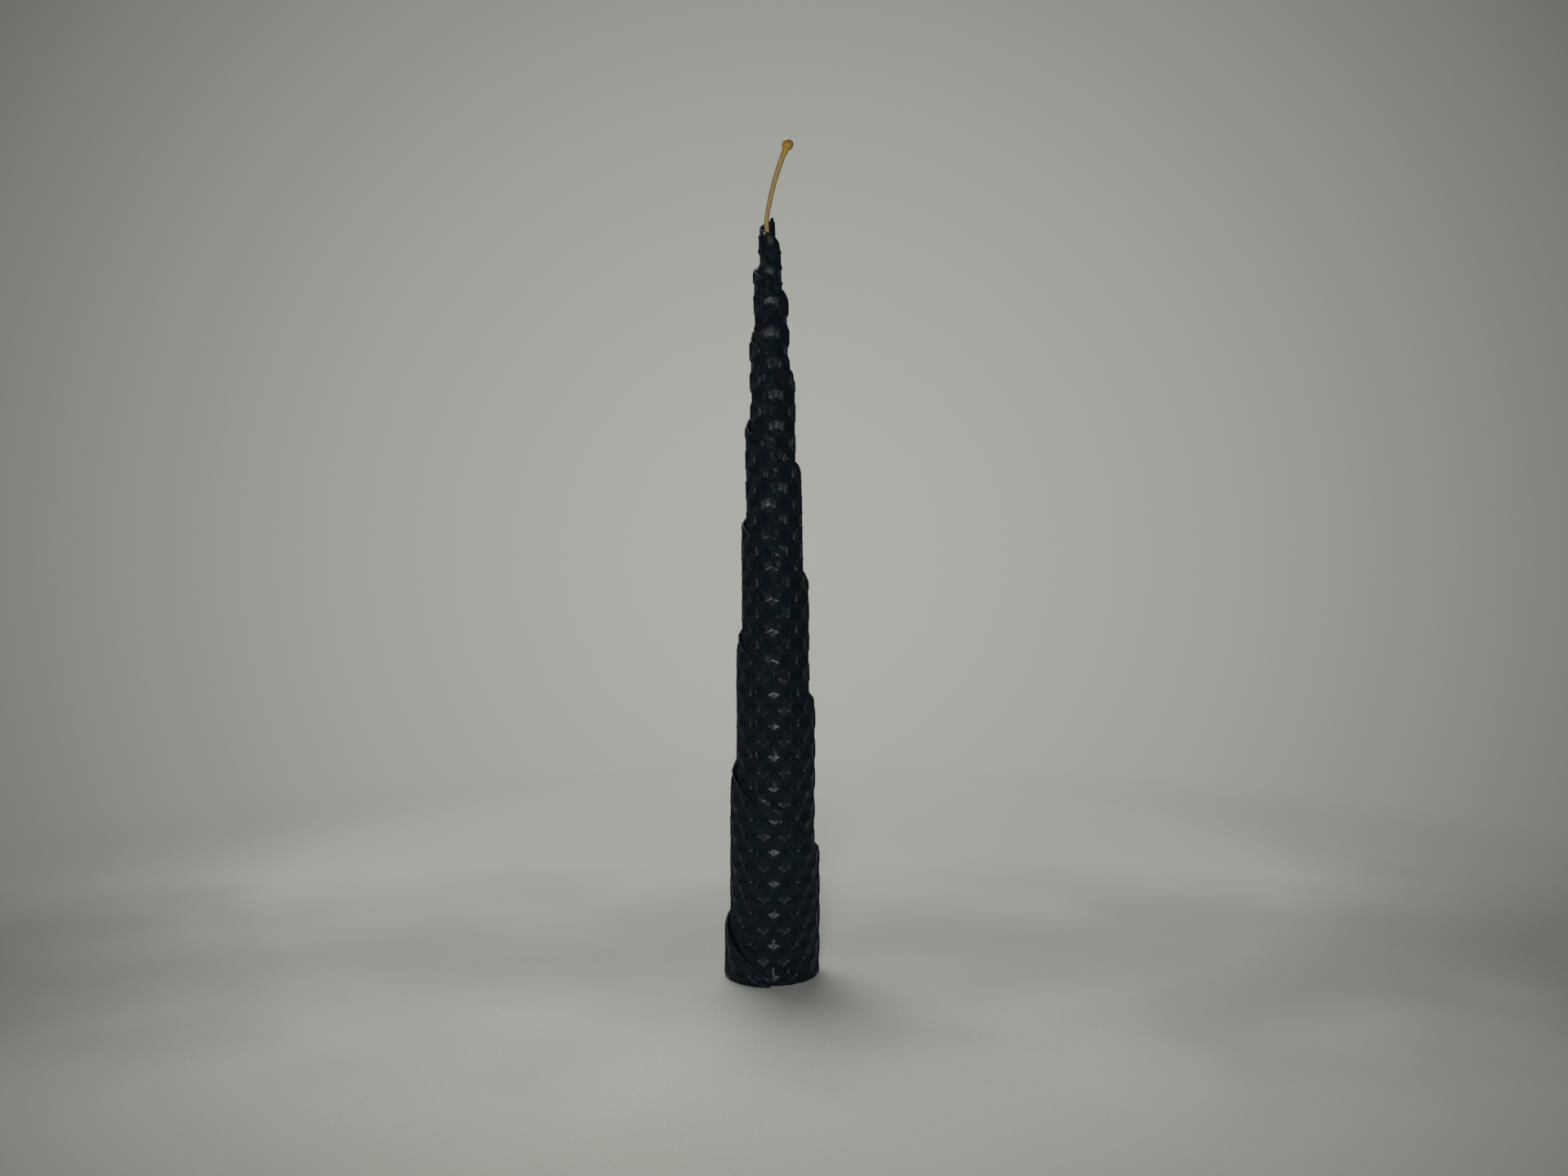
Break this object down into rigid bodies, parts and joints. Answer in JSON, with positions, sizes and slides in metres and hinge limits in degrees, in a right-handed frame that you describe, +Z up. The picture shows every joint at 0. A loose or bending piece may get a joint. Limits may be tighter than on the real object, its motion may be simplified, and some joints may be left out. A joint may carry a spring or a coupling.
{
  "type": "rolled beeswax taper candle",
  "caption": "Slim taper candle rolled from one triangular sheet of dark embossed comb wax round a waxed cotton wick.",
  "frame": {"origin": "middle of the candle's flat foot, on the line of the wick", "axes": "+Z up along the wick; -Y is the side where the sheet's outer corner ends at the foot; the free end of the wick leans towards +X"},
  "size_m": [0.0291, 0.0298, 0.2541],
  "materials": {
    "dyed_beeswax": null,
    "primed_cotton": "braided cotton stiffened with yellow beeswax, satin",
    "amber_beeswax": null
  },
  "bodies": {
    "root": {"wax_sheet": "dyed_beeswax", "wick": "primed_cotton", "wick_bead": "amber_beeswax"}
  },
  "joints": []
}
